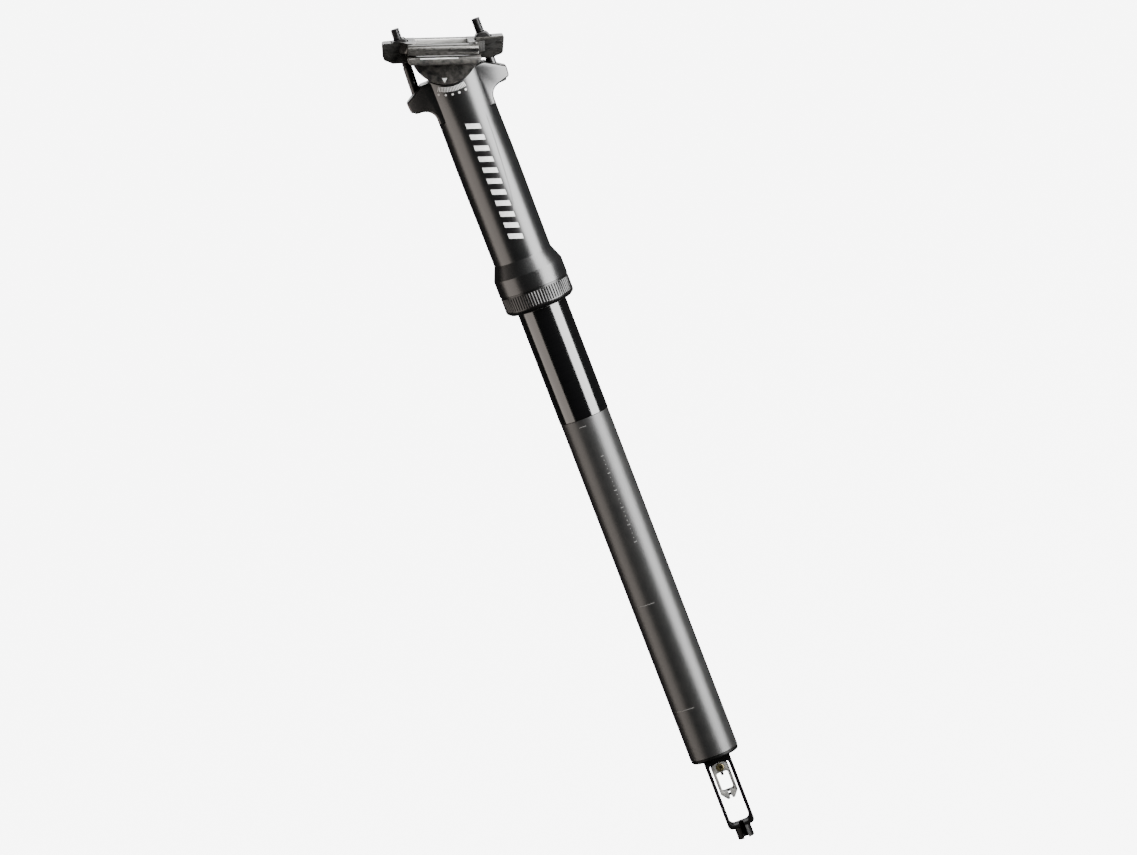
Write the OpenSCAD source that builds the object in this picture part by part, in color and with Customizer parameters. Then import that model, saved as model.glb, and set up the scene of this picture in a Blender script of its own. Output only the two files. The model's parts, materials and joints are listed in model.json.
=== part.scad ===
// Height-adjustable bicycle seatpost with 60 mm of travel, a two-bolt saddle clamp
// and a cable-actuated foot. Z = 0 is the lower end of the tube that goes into the frame.
// +X points forward, +Z points up the post.

/* [Lower post] */
// Diameter of the tube that the frame clamps
insert_d = 27.2; // [27.2:0.1:27.4]
// Length of that tube
insert_len = 197.5; // [190:0.5:198]
// Diameter of the sliding stanchion
stanchion_d = 27.6; // [27.5:0.05:27.7]
// Height of the stanchion's top end
stanchion_top = 321; // [320:0.5:321.5]
// Inside diameter of the stanchion
stanchion_bore_d = 22.6; // [22.4:0.1:22.8]

/* [Upper post] */
// Height of the knurled collar's lower face
collar_z = 262; // [261.5:0.25:262.5]
// Diameter of the knurled collar
collar_d = 38.6; // [38:0.1:38.8]
// Diameter of the plain band above the collar
band_d = 38.9; // [38.5:0.1:39]
// Diameter of the upper tube at its neck
neck_d = 32.4; // [32:0.1:32.8]
// Diameter of the upper tube at its widest
belly_d = 33.2; // [33:0.1:33.4]
// Height of the flat top of the head
head_top = 396.6; // [396:0.2:397]
// Half width of the ears where they leave the tube
ear_half_w = 10.4; // [10.2:0.1:10.6]

/* [Saddle clamp] */
// Height of the pivot that the saddle tilts about
pivot_z = 411.8; // [411.6:0.1:412]
// Nose-down tilt of the line through both nuts, as it stands, in degrees
tilt = 17.2; // [16.8:0.1:17.6]
// How much steeper the rails run than that line, in degrees
rail_tilt = 2.6; // [2.2:0.1:2.8]
// Radius of the head's round seat
seat_r = 20; // [19.9:0.05:20.1]
// Diameter of the saddle rails
rail_d = 7; // [6.8:0.1:7]
// Distance between the saddle rails
rail_spacing = 44; // [43.5:0.5:44.5]
// Half length of the rail grooves
groove_half = 19; // [18:0.5:19]
// Diameter of the clamp bolts
bolt_d = 5; // [4.9:0.1:5]

/* [Actuator] */
// Lowest face of the cage
cage_bottom = -42.8; // [-43:0.1:-42]
// Width of the cage
cage_w = 15; // [14.5:0.1:15]
// Depth of the cage
cage_depth = 11.5; // [11:0.5:12]
// Lower end of the cable nipple
nipple_bottom = -49.9; // [-50.2:0.1:-49.4]
// Half width of the cable carriage
carriage_half_w = 4.85; // [4.7:0.05:4.9]

/* [Hidden] */
$fn = 96;
insert_r = insert_d/2;
insert_bore_r = 12.3;
stanchion_r = stanchion_d/2;
stanchion_bore_r = stanchion_bore_d/2;
spigot_z = 160;
edge = 0.4;
run_gap = 0.04;

upper_bore_r = 14.5;
cavity_top = 384;
band_r = band_d/2;
band_z = 273.3;
cone_z = 282.5;
neck_z = 291;
bushing_seat_r = 15.4;
bushing_top = 287;
bushing_bottom = 270;
seal_top = 269.6;
seal_outer_r = 16;
seal_gap = 0.05;
upper_bushing_z = 306;
upper_bushing_r = stanchion_r - 0.6;
collar_thread_r = 17.8;
collar_top = 278.6;
collar_rim_z = collar_z + 10.5;

key_bottom = 290;
key_top = 300;
key_w = 3;
key_slot_top = 361;
key_slot_r = 15.45;
key_depth = 1.2;
key_proud = 1.5;
key_end_gap = 0.3;
key_count = 3;

lock_tube_r = 7.5;
lock_bore_r = 6;
lock_bottom = 300;
lock_groove_pitch = 5;
lock_groove_count = 14;
lock_groove_d = 0.6;
ball_head_r = 5.95;
ball_head_z = 298;
ball_z = 308;
ball_r = 1.6;
ball_park_r = 4.25;
ball_count = 4;

support_r = 4.5;
support_bore_r = 2.5;
support_z = 8;
support_top = 304;
rod_r = 1.5;
rod_step_r = 2.4;
rod_gap_r = 1.56;
rod_collar_z = 38;
plunger_z = 292;

spring_r = 9.3;
spring_wire_r = 1.3;
spring_bottom = 150;
spring_top = cavity_top;
spring_turns = 30;
return_spring_r = 2.02;
return_wire_r = 0.32;
return_turns = 20;

plug_flange = 2.2;
plug_top = 16;
cage_wall = 2;
cage_corner_r = 2.4;
window_top = -5.2;
window_bottom = cage_bottom + 2;
window_r = 2.5;
nipple_r = 4.55;
housing_r = 2.55;
cable_slot = 1.3;
housing_depth = 5.3;
carriage_top = -5.6;
carriage_bottom = -26.4;
carriage_half_d = 4.4;
carriage_side_end = -22.8;
carriage_valley = -25.2;
carriage_corner_r = 3.2;
carriage_window_half = 3.15;
carriage_window_bottom = -22;
carriage_window_top = -11.1;
grub_r = 1.25;
grub_head_r = 2.2;
grub_head_t = 1;
grub_z = -8.4;
grub_hex_r = 1.15;
cable_hole_r = 0.9;
cable_eye_r = 0.7;
cable_eye_z = -23.8;

// Outline of an ear from the side, from the tube out to the tip and back
ear_side = [[10, 376], [16.2, 376], [17.2, 379.4], [19.2, 381.6], [22, 382.6],
  [27.3, 384], [28.4, 385.2], [28.8, 389.2], [28.2, 390.6], [23.8, 392.8],
  [18.4, 396.2], [17, head_top], [10, head_top]];
ear_root_x = 13;
ear_tip_x = 25.8;
ear_tip_half = 3.7;
ear_corner_r = 3;
ear_bolt_x = 22;
ear_seat_z = 388.8;
ear_hole_r = 3.3;
ear_cbore_r = 5.3;
seat_gap = 0.35;
nut_x = 22.4;
nut_z = 2.3;
nut_r = 4.5;
nut_half = 6.5;
nut_flat = 3;
nut_gap = 0.3;
thread_gap = 0.05;
washer_r = 4.6;
washer_t = 1.2;
bolt_head_r = 4.25;
bolt_head_h = 4.8;
hex_key_d = 4;
rear_bolt_tip = 429.6;
front_bolt_tip = 419.4;

// Heights below are measured square to the rails, from the pivot
rail_z = -3.3;
bar_bottom = -2.7;
bar_top = 2.8;
bar_in = 16.5;
bar_out = 27.5;
bar_chamfer = 2;
gusset_top = 3.4;
wing_top = -3.9;
wing_in = 10;
// Outline of a wing from the side, rear end first
wing_side = [[-19, wing_top], [20.5, wing_top], [20.5, -4.8], [18.6, -7.9],
  [-17.6, -7.9], [-19, -6.4]];
rocker_half_y = 16;
rocker_half_x = 17.4;
rocker_gap = 0.3;
// Shift of the second arc that eases the rocker's rear flank
flank_shift = [1.6, 0, 0.3];
pocket_half_x = 10;
pocket_half_y = 9;
pocket_bottom = -13;
block_top = 4.1;
// Outlines of the two end blocks from the side, square to the line through the nuts
rear_block = [[-18.6, block_top], [-31, block_top], [-31.9, 3], [-31.9, -4.6],
  [-27, -7], [-18.6, -7]];
front_block = [[18.6, block_top], [33.4, block_top], [33.8, 3], [32.6, -4.2],
  [30.8, -6.4], [27, -7], [18.6, -7]];
block_half_y = 9;
slot_half = 2.9;
slot_reach = 12;
// Angles that each bolt may swing through in its slot, inward and outward
rear_swing = [21, 3];
front_swing = [6, 24];
// Plan of the gusset between an end block and the bars
gusset_plan = [[14, -20], [18.6, -20], [21.2, -12], [23.5, -8], [23.5, 8], [21.2, 12],
  [18.6, 20], [14, 20]];
// Outline of the relief that keeps the cradle's end clear of a bolt
bolt_relief = [[12.4, -20], [16.2, 0], [30, 0], [30, -20]];
bolt_relief_half = 3.4;

// An outline as it is for the front (s = 1), or turned about for the rear (s = -1)
function facing(points, s) = [for (p = points) [s*p[0], p[1]]];

// Centre of each barrel nut, forward and up from the pivot, with the clamp tilted
function tilted(x, z) = [x*cos(tilt) + z*sin(tilt), z*cos(tilt) - x*sin(tilt)];
rear_nut_at = tilted(-nut_x, nut_z) + [0, pivot_z];
front_nut_at = tilted(nut_x, nut_z) + [0, pivot_z];
// Lean of each bolt towards +X, from its seat in the ear to its nut
function lean(nut, seat_x) = atan2(nut[0] - seat_x, nut[1] - ear_seat_z);
// Direction of one of the three guide keys round the post, the first on the left
function key_angle(i) = 360*i/key_count + 90;
rear_lean = lean(rear_nut_at, -ear_bolt_x);
front_lean = lean(front_nut_at, ear_bolt_x);

// A ring from r_in to r_out, between two heights
module ring(r_in, r_out, z0, z1) {
  translate([0, 0, z0])
    difference() {
      cylinder(r = r_out, h = z1 - z0);
      translate([0, 0, -1]) cylinder(r = r_in, h = z1 - z0 + 2);
    }
}

// A plate with round corners, standing in the XZ plane
module upright_plate(x0, x1, z0, z1, depth, r) {
  rotate([90, 0, 0])
    linear_extrude(depth, center = true)
      union() {
        translate([x0 + r, z0]) square([x1 - x0 - 2*r, z1 - z0]);
        translate([x0, z0 + r]) square([x1 - x0, z1 - z0 - 2*r]);
        for (x = [x0 + r, x1 - r], z = [z0 + r, z1 - r])
          translate([x, z]) circle(r, $fn = 40);
      }
}

// An outline in the XZ plane, pulled out to a half width on both sides
module slab(points, half) {
  rotate([90, 0, 0]) linear_extrude(2*half, center = true) polygon(points);
}

// One closed coil of round wire, as a swept tube
module coil(r, wire_r, z0, z1, turns, steps = 16, sides = 6) {
  count = turns*steps;
  rise = (z1 - z0 - 2*wire_r)/count;
  points = [for (i = [0:count], s = [0:sides - 1])
    let (a = 360*i/steps, b = 360*s/sides, rr = r + wire_r*cos(b))
    [rr*cos(a), rr*sin(a), z0 + wire_r + rise*i + wire_r*sin(b)]];
  skin = [for (i = [0:count - 1], s = [0:sides - 1])
    let (n = (s + 1) % sides)
    [i*sides + s, i*sides + n, (i + 1)*sides + n, (i + 1)*sides + s]];
  first = [for (s = [sides - 1:-1:0]) s];
  last = [for (s = [0:sides - 1]) count*sides + s];
  polyhedron(points = points, faces = concat([first], skin, [last]), convexity = 10);
}

// Places its children in the clamp's own frame, tilted about the pivot
module at_saddle() {
  translate([0, 0, pivot_z]) rotate([0, tilt, 0]) children();
}

// Places its children on a bolt's axis, with Z = 0 at the seat in the ear
module at_bolt(seat_x, angle) {
  translate([seat_x, 0, ear_seat_z]) rotate([0, angle, 0]) children();
}

module lower_tube() {
  color([0.2, 0.2, 0.2])
    rotate_extrude()
      polygon([[insert_bore_r, 0], [insert_r, 0], [insert_r, insert_len - edge],
        [insert_r - edge, insert_len], [insert_bore_r, insert_len]]);
}

module stanchion() {
  color([0.04, 0.04, 0.045])
    difference() {
      rotate_extrude()
        polygon([[stanchion_bore_r, spigot_z], [insert_bore_r, spigot_z],
          [insert_bore_r, insert_len], [stanchion_r, insert_len],
          [stanchion_r, upper_bushing_z], [upper_bushing_r, upper_bushing_z],
          [upper_bushing_r, stanchion_top], [stanchion_bore_r, stanchion_top]]);
      for (i = [0:key_count - 1])
        rotate([0, 0, key_angle(i)])
          translate([stanchion_r - key_depth, -key_w/2, key_bottom])
            cube([key_depth + 2, key_w, key_top - key_bottom]);
    }
}

module bottom_plug() {
  color([0.06, 0.06, 0.06])
    difference() {
      rotate_extrude()
        union() {
          polygon([[0, -plug_flange], [insert_r - 1.4, -plug_flange],
            [insert_r - 0.2, -1], [insert_r - 0.2, 0], [insert_bore_r, 0],
            [insert_bore_r, plug_top], [0, plug_top]]);
          translate([insert_r - 1.4, -1]) circle(1.2);
        }
      translate([0, 0, -3]) cylinder(r = rod_gap_r, h = plug_top + 4);
      translate([0, 0, support_z]) cylinder(r = support_r, h = plug_top);
    }
}

module actuator_cage() {
  half = cage_w/2;
  color([0.05, 0.05, 0.05])
    difference() {
      union() {
        upright_plate(-half, half, cage_bottom, -plug_flange, cage_depth, cage_corner_r);
        translate([-half, -cage_depth/2, -plug_flange - 3])
          cube([cage_w, cage_depth, 3]);
        translate([0, 0, nipple_bottom]) cylinder(r = nipple_r, h = 8);
      }
      upright_plate(-half + cage_wall, half - cage_wall, window_bottom, window_top,
        cage_depth + 2, window_r);
      translate([0, 0, nipple_bottom - 1]) cylinder(r = housing_r, h = housing_depth + 1);
      translate([0, 0, nipple_bottom - 1]) cylinder(r = cable_slot, h = 12);
      translate([-cable_slot, -cage_depth, nipple_bottom - 1])
        cube([2*cable_slot, cage_depth, 12]);
      translate([0, 0, window_top - 1]) cylinder(r = rod_gap_r, h = 5);
    }
}

module support_tube() {
  color([0.62, 0.62, 0.64]) ring(support_bore_r, support_r, support_z, support_top);
}

module ball_head() {
  color([0.55, 0.56, 0.58])
    difference() {
      ring(support_bore_r, ball_head_r, ball_head_z, ball_head_z + 16);
      translate([0, 0, ball_head_z - 1]) cylinder(r = support_r, h = support_top - ball_head_z + 1);
      for (i = [0:ball_count - 1])
        rotate([0, 90, 90*i + 45])
          translate([-ball_z, 0, 0]) cylinder(r = ball_r + run_gap, h = 8, $fn = 32);
    }
}

module lock_balls() {
  color([0.8, 0.8, 0.82])
    for (i = [0:ball_count - 1])
      rotate([0, 0, 90*i + 45])
        translate([ball_park_r, 0, ball_z]) sphere(r = ball_r, $fn = 32);
}

module return_spring() {
  color([0.7, 0.7, 0.72])
    coil(return_spring_r, return_wire_r, support_z + 0.1, rod_collar_z - 0.1, return_turns, 12, 5);
}

module spring_seat() {
  color([0.15, 0.15, 0.15])
    difference() {
      ring(support_r, stanchion_bore_r - 0.3, spring_bottom - 8, spring_bottom);
      ring(7, 9, spring_bottom - 9, spring_bottom - 3);
    }
}

module main_spring() {
  color([0.45, 0.45, 0.47])
    coil(spring_r, spring_wire_r, spring_bottom, spring_top, spring_turns, 16, 6);
}

module upper_bushing() {
  color([0.86, 0.82, 0.7])
    ring(upper_bushing_r, upper_bore_r - run_gap, upper_bushing_z, stanchion_top - 1.5);
}

module guide_keys() {
  color([0.75, 0.58, 0.25])
    for (i = [0:key_count - 1])
      rotate([0, 0, key_angle(i)])
        translate([stanchion_r - key_depth, -key_w/2, key_bottom])
          cube([key_depth + key_proud, key_w, key_top - key_bottom]);
}

// One ear, narrowing towards its tip; s is 1 for the front and -1 for the rear
module ear(s) {
  intersection() {
    slab(facing(ear_side, s), ear_half_w + 1);
    linear_extrude(head_top + 1)
      hull() {
        translate([s*(ear_root_x - 2), 0]) square([4, 2*ear_half_w], center = true);
        for (y = [-ear_tip_half, ear_tip_half])
          translate([s*ear_tip_x, y]) circle(ear_corner_r, $fn = 40);
      }
  }
}

module upper_tube() {
  color([0.1, 0.1, 0.1])
    difference() {
      union() {
        rotate_extrude()
          polygon([[0, band_z], [band_r, band_z], [band_r, cone_z], [neck_d/2, neck_z],
            [neck_d/2 + 0.15, 313], [belly_d/2, 335], [belly_d/2, 350],
            [belly_d/2 - 0.2, 365], [belly_d/2 - 0.2, head_top], [0, head_top]]);
        ear(1);
        ear(-1);
      }
      translate([0, 0, band_z - 1]) cylinder(r = collar_thread_r, h = collar_top - band_z + 1.2);
      translate([0, 0, band_z - 1]) cylinder(r = bushing_seat_r, h = bushing_top - band_z + 1);
      translate([0, 0, band_z - 1]) cylinder(r = upper_bore_r, h = cavity_top - band_z + 1);
      for (i = [0:key_count - 1])
        rotate([0, 0, key_angle(i)])
          translate([upper_bore_r - 2, -key_w/2 - run_gap, key_bottom - key_end_gap])
            cube([key_slot_r - upper_bore_r + 2, key_w + 2*run_gap,
              key_slot_top - key_bottom + key_end_gap]);
      translate([0, 0, cavity_top - 1]) cylinder(r = lock_bore_r, h = 6);
      translate([0, 0, pivot_z]) rotate([90, 0, 0])
        cylinder(r = seat_r, h = 60, center = true);
      for (s = [-1, 1])
        at_bolt(s*ear_bolt_x, s > 0 ? front_lean : rear_lean) {
          translate([0, 0, -20]) cylinder(r = ear_hole_r, h = 40);
          translate([0, 0, -20]) cylinder(r = ear_cbore_r, h = 20);
        }
    }
}

module seal_collar() {
  color([0.12, 0.12, 0.12])
    difference() {
      rotate_extrude()
        polygon([[stanchion_r + 0.3, collar_z], [collar_d/2 - 2.2, collar_z],
          [collar_d/2, collar_z + 2.2], [collar_d/2, collar_rim_z],
          [collar_d/2 - 0.4, collar_rim_z + 0.1], [collar_d/2 - 0.4, band_z],
          [collar_thread_r, band_z], [collar_thread_r, collar_top],
          [bushing_seat_r + 0.1, collar_top], [bushing_seat_r + 0.1, seal_top],
          [stanchion_r + 0.3, seal_top]]);
      translate([0, 0, collar_z + 1]) cylinder(r = seal_outer_r, h = seal_top - collar_z);
    }
}

module wiper_seal() {
  color([0.03, 0.03, 0.03])
    rotate_extrude()
      polygon([[stanchion_r + seal_gap, collar_z - 0.5], [stanchion_r + 0.3, collar_z - 0.5],
        [stanchion_r + 0.3, collar_z + 1], [seal_outer_r, collar_z + 1],
        [seal_outer_r, seal_top], [stanchion_r + 0.6, seal_top],
        [stanchion_r + 0.6, collar_z + 3], [stanchion_r + seal_gap, collar_z + 1.6]]);
}

module lower_bushing() {
  color([0.86, 0.82, 0.7]) ring(stanchion_r + run_gap, bushing_seat_r, bushing_bottom, bushing_top);
}

module lock_tube() {
  color([0.6, 0.6, 0.62])
    rotate_extrude()
      difference() {
        union() {
          translate([lock_bore_r, lock_bottom])
            square([lock_tube_r - lock_bore_r, cavity_top - lock_bottom]);
          translate([0, cavity_top - 2]) square([lock_bore_r, 7]);
        }
        for (i = [0:lock_groove_count - 1])
          translate([0, lock_bottom + 7 + lock_groove_pitch*i])
            square([lock_bore_r + lock_groove_d, 2*ball_r]);
      }
}

module cable_carriage() {
  w = carriage_half_w;
  color([0.72, 0.72, 0.7])
    difference() {
      union() {
        upright_plate(-w, w, carriage_side_end + 0.2, carriage_top, 2*carriage_half_d,
          carriage_corner_r);
        slab([[-w, -14], [w, -14], [w, carriage_side_end], [2, carriage_bottom],
          [1, carriage_bottom], [0, carriage_valley], [-1, carriage_bottom],
          [-2, carriage_bottom], [-w, carriage_side_end]], carriage_half_d);
      }
      upright_plate(-carriage_window_half, carriage_window_half, carriage_window_bottom,
        carriage_window_top, 2*carriage_half_d + 2, 1);
      translate([0, 0, -13]) cylinder(r = rod_r, h = 10);
      translate([0, 0, carriage_bottom - 1]) cylinder(r = cable_hole_r, h = 6, $fn = 32);
      translate([0, 0, cable_eye_z]) rotate([90, 0, 0])
        cylinder(r = cable_eye_r, h = 2*carriage_half_d + 2, center = true, $fn = 32);
      translate([0, -0.5, grub_z]) rotate([90, 0, 0]) cylinder(r = grub_r, h = 8, $fn = 48);
      translate([0, grub_head_t - carriage_half_d, grub_z]) rotate([90, 0, 0])
        cylinder(r = grub_head_r + 0.1, h = 3, $fn = 48);
    }
}

module cable_clamp_screw() {
  color([0.55, 0.5, 0.38])
    difference() {
      union() {
        translate([0, -rod_r, grub_z]) rotate([90, 0, 0])
          cylinder(r = grub_r, h = carriage_half_d - rod_r - 0.3, $fn = 48);
        translate([0, grub_head_t - carriage_half_d, grub_z]) rotate([90, 0, 0])
          cylinder(r = grub_head_r, h = grub_head_t - 0.1, $fn = 48);
      }
      translate([0, -carriage_half_d + 1.6, grub_z]) rotate([90, 0, 0])
        cylinder(r = grub_hex_r, h = 3, $fn = 6);
    }
}

module release_rod() {
  color([0.25, 0.25, 0.26])
    rotate_extrude()
      polygon([[0, -13.4], [0.8, -13.4], [0.8, -11.1], [rod_r, -11.1], [rod_r, rod_collar_z],
        [rod_step_r, rod_collar_z], [rod_step_r, rod_collar_z + 3], [rod_r, rod_collar_z + 3],
        [rod_r, plunger_z], [rod_step_r, plunger_z + 2], [rod_step_r, ball_z - 6],
        [rod_r, ball_z - 3], [rod_r, ball_z + 3], [rod_step_r, ball_z + 6],
        [rod_step_r, ball_z + 6.4], [0, ball_z + 6.4]]);
}

// Places its children in the frame of the rails, from the clamp's own frame
module at_rails() {
  rotate([0, rail_tilt, 0]) children();
}

module rail_grooves() {
  at_rails()
    for (s = [-1, 1])
      translate([0, s*rail_spacing/2, rail_z]) rotate([0, 90, 0])
        cylinder(r = rail_d/2, h = 60, center = true);
}

// The part of the cradle that turns in the head's round seat
module rocker() {
  intersection() {
    rotate([90, 0, 0])
      cylinder(r = seat_r - rocker_gap, h = 2*rocker_half_y, center = true);
    translate(flank_shift) rotate([90, 0, 0])
      cylinder(r = seat_r - rocker_gap, h = 2*rocker_half_y + 1, center = true);
    translate([-rocker_half_x, -rocker_half_y, -30])
      cube([2*rocker_half_x, 2*rocker_half_y, 30 + wing_top]);
  }
}

module saddle_cradle() {
  wing_w = bar_out - wing_in;
  color([0.2, 0.2, 0.2])
    at_saddle() difference() {
      at_rails() {
        for (s = [-1, 1])
          translate([0, s*(wing_in + wing_w/2), 0]) slab(wing_side, wing_w/2);
        rocker();
      }
      rail_grooves();
      for (s = [-1, 1])
        slab(facing(bolt_relief, s), bolt_relief_half);
      at_rails()
        translate([-pocket_half_x, -pocket_half_y, pocket_bottom])
          cube([2*pocket_half_x, 2*pocket_half_y, 20]);
    }
}

// The wedge that lets a bolt swing in its end block, inward and outward from upright
module swing_slot(s, swing) {
  inner = slot_reach*tan(swing[0]) + slot_half/cos(swing[0]);
  outer = slot_reach*tan(swing[1]) + slot_half/cos(swing[1]);
  slab(facing([[nut_x - slot_half, nut_z], [nut_x + slot_half, nut_z],
    [nut_x + outer, nut_z - slot_reach], [nut_x - inner, nut_z - slot_reach]], s), slot_half);
}

// One rail bar, chamfered along its outer top edge; s is 1 for the left rail
module rail_bar(s) {
  rotate([90, 0, 90])
    linear_extrude(2*groove_half, center = true)
      polygon([[s*bar_in, bar_bottom], [s*bar_out, bar_bottom],
        [s*bar_out, bar_top - bar_chamfer], [s*(bar_out - bar_chamfer), bar_top],
        [s*bar_in, bar_top]]);
}

module upper_clamp() {
  color([0.2, 0.2, 0.2])
    at_saddle() difference() {
      union() {
        for (s = [-1, 1]) {
          at_rails() rail_bar(s);
          slab(s > 0 ? front_block : rear_block, block_half_y);
          at_rails() translate([0, 0, bar_bottom]) linear_extrude(gusset_top - bar_bottom)
            polygon(facing(gusset_plan, s));
        }
      }
      rail_grooves();
      for (s = [-1, 1])
        translate([s*nut_x, 0, nut_z]) {
          rotate([90, 0, 0]) cylinder(r = nut_r + nut_gap, h = 2*nut_half + 0.6, center = true);
          translate([-nut_r - nut_gap, -nut_half - 0.3, 0])
            cube([2*(nut_r + nut_gap), 2*nut_half + 0.6, 8]);
        }
      swing_slot(-1, rear_swing);
      swing_slot(1, front_swing);
    }
}

// A barrel nut lying along Y, drilled for its bolt, with a flat above (1) or below (-1)
module barrel_nut(at, angle, flat_side) {
  color([0.05, 0.05, 0.05])
    translate([at[0], 0, at[1]]) rotate([0, angle, 0]) difference() {
      rotate([90, 0, 0]) cylinder(r = nut_r, h = 2*nut_half, center = true);
      translate([0, 0, -10]) cylinder(r = bolt_d/2 + thread_gap, h = 20);
      translate([-nut_r - 1, -nut_half - 1, flat_side > 0 ? nut_flat : -nut_flat - 5])
        cube([2*nut_r + 2, 2*nut_half + 2, 5]);
    }
}

module seat_washer(seat_x, angle) {
  color([0.3, 0.3, 0.3])
    at_bolt(seat_x, angle)
      ring(bolt_d/2 + thread_gap, washer_r, -seat_gap - washer_t, -seat_gap);
}

// A socket-head bolt, from its head in the ear to its tip above the clamp
module clamp_bolt(seat_x, angle, tip_z) {
  under = -seat_gap - washer_t - 0.05;
  color([0.05, 0.05, 0.05])
    at_bolt(seat_x, angle) difference() {
      union() {
        translate([0, 0, under]) cylinder(r = bolt_d/2, h = (tip_z - ear_seat_z)/cos(angle) - under);
        translate([0, 0, under - bolt_head_h]) cylinder(r = bolt_head_r, h = bolt_head_h);
      }
      translate([0, 0, under - bolt_head_h - 1]) cylinder(d = hex_key_d/cos(30), h = 3.6, $fn = 6);
    }
}

module rear_nut() { barrel_nut(rear_nut_at, rear_lean, 1); }
module front_nut() { barrel_nut(front_nut_at, front_lean, -1); }
module rear_washer() { seat_washer(-ear_bolt_x, rear_lean); }
module front_washer() { seat_washer(ear_bolt_x, front_lean); }
module rear_bolt() { clamp_bolt(-ear_bolt_x, rear_lean, rear_bolt_tip); }
module front_bolt() { clamp_bolt(ear_bolt_x, front_lean, front_bolt_tip); }

lower_tube();
stanchion();
bottom_plug();
actuator_cage();
support_tube();
ball_head();
lock_balls();
return_spring();
spring_seat();
main_spring();
upper_bushing();
guide_keys();
upper_tube();
seal_collar();
wiper_seal();
lower_bushing();
lock_tube();
cable_carriage();
cable_clamp_screw();
release_rod();
saddle_cradle();
upper_clamp();
rear_nut();
front_nut();
rear_washer();
front_washer();
rear_bolt();
front_bolt();
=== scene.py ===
import json
import math
import bmesh
import bpy
from mathutils import Matrix, Vector


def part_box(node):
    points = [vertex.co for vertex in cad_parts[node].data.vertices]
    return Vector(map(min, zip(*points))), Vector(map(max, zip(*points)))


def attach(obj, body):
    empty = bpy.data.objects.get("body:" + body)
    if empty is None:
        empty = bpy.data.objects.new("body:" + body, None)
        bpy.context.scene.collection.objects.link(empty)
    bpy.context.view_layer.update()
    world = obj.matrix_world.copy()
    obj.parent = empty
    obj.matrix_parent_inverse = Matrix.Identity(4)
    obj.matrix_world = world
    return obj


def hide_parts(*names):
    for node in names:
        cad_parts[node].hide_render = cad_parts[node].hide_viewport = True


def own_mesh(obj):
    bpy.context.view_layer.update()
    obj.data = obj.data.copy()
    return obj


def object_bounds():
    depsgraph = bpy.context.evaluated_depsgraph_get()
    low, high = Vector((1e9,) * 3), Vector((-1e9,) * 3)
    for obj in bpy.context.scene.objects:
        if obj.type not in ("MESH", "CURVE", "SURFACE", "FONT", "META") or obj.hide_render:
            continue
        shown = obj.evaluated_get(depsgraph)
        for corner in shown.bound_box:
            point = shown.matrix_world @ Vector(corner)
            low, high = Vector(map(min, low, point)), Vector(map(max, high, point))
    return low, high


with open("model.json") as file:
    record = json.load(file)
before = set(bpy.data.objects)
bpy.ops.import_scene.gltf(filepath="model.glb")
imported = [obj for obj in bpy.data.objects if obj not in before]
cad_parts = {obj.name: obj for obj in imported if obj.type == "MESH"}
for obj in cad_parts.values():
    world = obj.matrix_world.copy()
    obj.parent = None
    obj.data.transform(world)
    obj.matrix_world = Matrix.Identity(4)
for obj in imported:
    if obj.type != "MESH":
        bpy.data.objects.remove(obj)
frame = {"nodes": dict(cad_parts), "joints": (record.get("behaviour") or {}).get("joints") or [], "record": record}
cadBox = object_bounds()
cadNodes = frame["nodes"]
jointByName = {j["name"]: j for j in frame["joints"]}
mm = 0.001  # everything below is worked out in millimetres and scaled at the end
past = 1    # how far a cutting tool reaches past the face that it cuts


def low(node):
    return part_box(node)[0] / mm


def high(node):
    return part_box(node)[1] / mm


cameraSetup = {
    "aim": (-10.2, 0.0, 194.3),  # point of the post in the middle of the view
    "distance": 5.5,             # metres from there
    "elevation": 7.4,            # degrees above level
    "roll": 21.12,               # the post leans to the left by this much
    "viewWidth": 0.6140,         # metres across the view at the post
}


def makeCamera(c):
    camera = bpy.data.objects.new("camera", bpy.data.cameras.new("camera"))
    bpy.context.scene.collection.objects.link(camera)
    up = math.radians(c["elevation"])
    roll = math.radians(c["roll"])
    looking = Vector((0, math.cos(up), -math.sin(up)))
    level = Vector((1, 0, 0))
    above = Vector((0, math.sin(up), math.cos(up)))
    right = level * math.cos(roll) - above * math.sin(roll)
    top = level * math.sin(roll) + above * math.cos(roll)
    place = Vector(c["aim"]) * mm - looking * c["distance"]
    turn = Matrix((right, top, -looking)).transposed().to_4x4()
    camera.matrix_world = Matrix.Translation(place) @ turn
    camera.data.sensor_width = 36
    camera.data.lens = 36 * c["distance"] / c["viewWidth"]
    camera.data.clip_end = 100
    camera.data.dof.use_dof = False
    bpy.context.scene.camera = camera


print("camera")
makeCamera(cameraSetup)


def node(tree, kind, **values):
    made = tree.nodes.new(kind)
    for key, value in values.items():
        if hasattr(made, key):
            setattr(made, key, value)
        else:
            made.inputs[key.replace("_", " ")].default_value = value
    return made


def rampBetween(tree, source, places, greys):
    ramp = node(tree, "ShaderNodeMapRange")
    ramp.inputs["From Min"].default_value = places[0]
    ramp.inputs["From Max"].default_value = places[1]
    ramp.inputs["To Min"].default_value = greys[0]
    ramp.inputs["To Max"].default_value = greys[1]
    tree.links.new(source, ramp.inputs["Value"])
    return ramp.outputs["Result"]


def mixColours(tree, factor, first, second):
    mix = node(tree, "ShaderNodeMix", data_type="RGBA")
    tree.links.new(factor, mix.inputs["Factor"])
    for place, value in ((6, first), (7, second)):
        if isinstance(value, (tuple, list)):
            mix.inputs[place].default_value = (*value, 1)
        else:
            tree.links.new(value, mix.inputs[place])
    return mix.outputs[2]


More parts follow.
